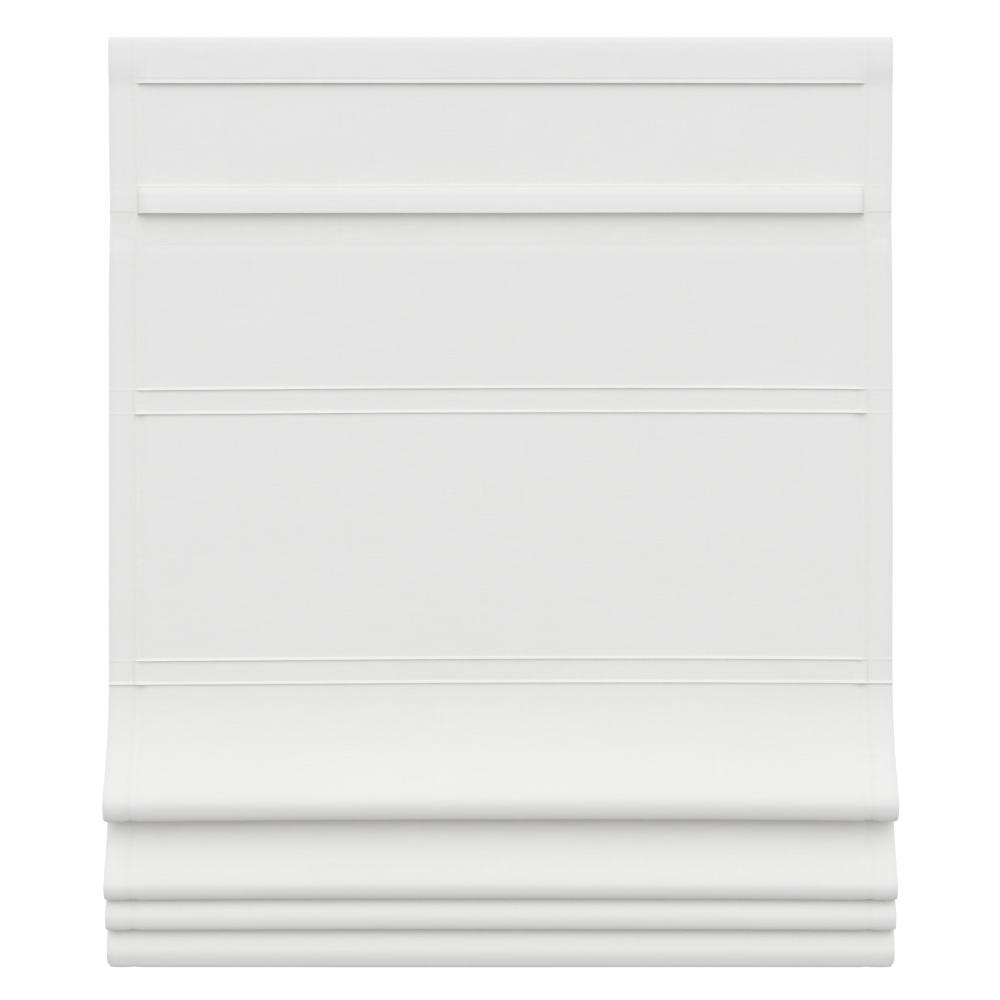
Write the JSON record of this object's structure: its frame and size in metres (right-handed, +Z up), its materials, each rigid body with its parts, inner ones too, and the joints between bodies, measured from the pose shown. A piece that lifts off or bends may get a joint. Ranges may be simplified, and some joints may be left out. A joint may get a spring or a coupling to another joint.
{
  "type": "roman blind",
  "caption": "Half-raised cordless roman blind with a flat header band, flat ribs, soft gathered folds at the bottom, and a concealed headrail on wall brackets.",
  "frame": {"origin": "centre of the wall-screw pattern, on the wall's face", "axes": "+Z up, +Y into the wall, +X along the headrail to the right as seen from the room"},
  "size_m": [0.8, 0.0774, 0.947],
  "materials": {
    "cloth": "fine plain weave, off-white, slightly slubbed",
    "rail_metal": "white powder coat on extruded aluminium",
    "white_moulding": "satin moulded plastic",
    "bracket_steel": "white paint on bent steel",
    "latch_steel": "zinc plated",
    "touch_tape": "woven touch tape",
    "grey_moulding": "moulded acetal",
    "shaft_steel": "drawn steel rod",
    "spring_steel": "tempered strip",
    "rib_plastic": "pultruded strip",
    "ring_plastic": "clear white moulded ring",
    "bar_metal": "white painted flat bar"
  },
  "bodies": {
    "headrail_and_upper_cloth": {"headrail": "rail_metal", "headrail_end_cap_left": "white_moulding", "headrail_end_cap_right": "white_moulding", "wall_bracket_left": "bracket_steel", "wall_bracket_right": "bracket_steel", "hook_tape": "touch_tape", "loop_tape": "touch_tape", "spool_cradle_left": "grey_moulding", "spool_cradle_centre": "grey_moulding", "spool_cradle_right": "grey_moulding", "motor_housing": "grey_moulding", "motor_lid": "grey_moulding", "motor_spring": "spring_steel", "cloth_upper": "cloth", "cloth_fold_1": "cloth", "rib_slat_1": "rib_plastic", "rib_slat_2": "rib_plastic", "rib_slat_3": "rib_plastic", "rib_rings_1": "ring_plastic", "rib_rings_2": "ring_plastic", "rib_rings_3": "ring_plastic"},
    "lift_shaft": {"lift_shaft": "shaft_steel", "cord_spool_left": "grey_moulding", "cord_spool_centre": "grey_moulding", "cord_spool_right": "grey_moulding", "motor_arbor": "grey_moulding"},
    "latch_left": {"bracket_latch_left": "latch_steel"},
    "latch_right": {"bracket_latch_right": "latch_steel"},
    "rib_4": {"rib_slat_4": "rib_plastic", "rib_rings_4": "ring_plastic", "cloth_fold_2": "cloth"},
    "rib_5": {"rib_slat_5": "rib_plastic", "rib_rings_5": "ring_plastic", "cloth_fold_3": "cloth"},
    "bottom_bar": {"rib_slat_6": "rib_plastic", "rib_rings_6": "ring_plastic", "cloth_bottom": "cloth", "bottom_bar": "bar_metal", "bottom_bar_cap_left": "white_moulding", "bottom_bar_cap_right": "white_moulding"}
  },
  "joints": [
    {"name": "lower_blind", "type": "slide", "parent": "headrail_and_upper_cloth", "child": "rib_4", "axis": [0, 0, -1], "range_m": [0, 0.205], "deforming": ["cloth_fold_1"]},
    {"name": "open_second_fold", "type": "slide", "parent": "rib_4", "child": "rib_5", "axis": [0, 0, -1], "range_m": [0, 0.205], "deforming": ["cloth_fold_2"]},
    {"name": "open_third_fold", "type": "slide", "parent": "rib_5", "child": "bottom_bar", "axis": [0, 0, -1], "range_m": [0, 0.205], "deforming": ["cloth_fold_3"]},
    {"name": "lift_shaft_turn", "type": "hinge", "parent": "headrail_and_upper_cloth", "child": "lift_shaft", "pos_m": [0, -0.01915, 0.00175], "axis": [1, 0, 0], "range_deg": [0, 3920]},
    {"name": "latch_left_swivel", "type": "hinge", "parent": "headrail_and_upper_cloth", "child": "latch_left", "pos_m": [-0.34, -0.01915, 0.018], "axis": [0, 0, 1], "range_deg": [0, 90]},
    {"name": "latch_right_swivel", "type": "hinge", "parent": "headrail_and_upper_cloth", "child": "latch_right", "pos_m": [0.34, -0.01915, 0.018], "axis": [0, 0, 1], "range_deg": [-90, 0]}
  ],
  "couplings": [
    {"joint": "open_second_fold", "follows": "lower_blind", "ratio": 1},
    {"joint": "open_third_fold", "follows": "lower_blind", "ratio": 1},
    {"joint": "lift_shaft_turn", "follows": "lower_blind", "rad_per_m": 333.33}
  ]
}
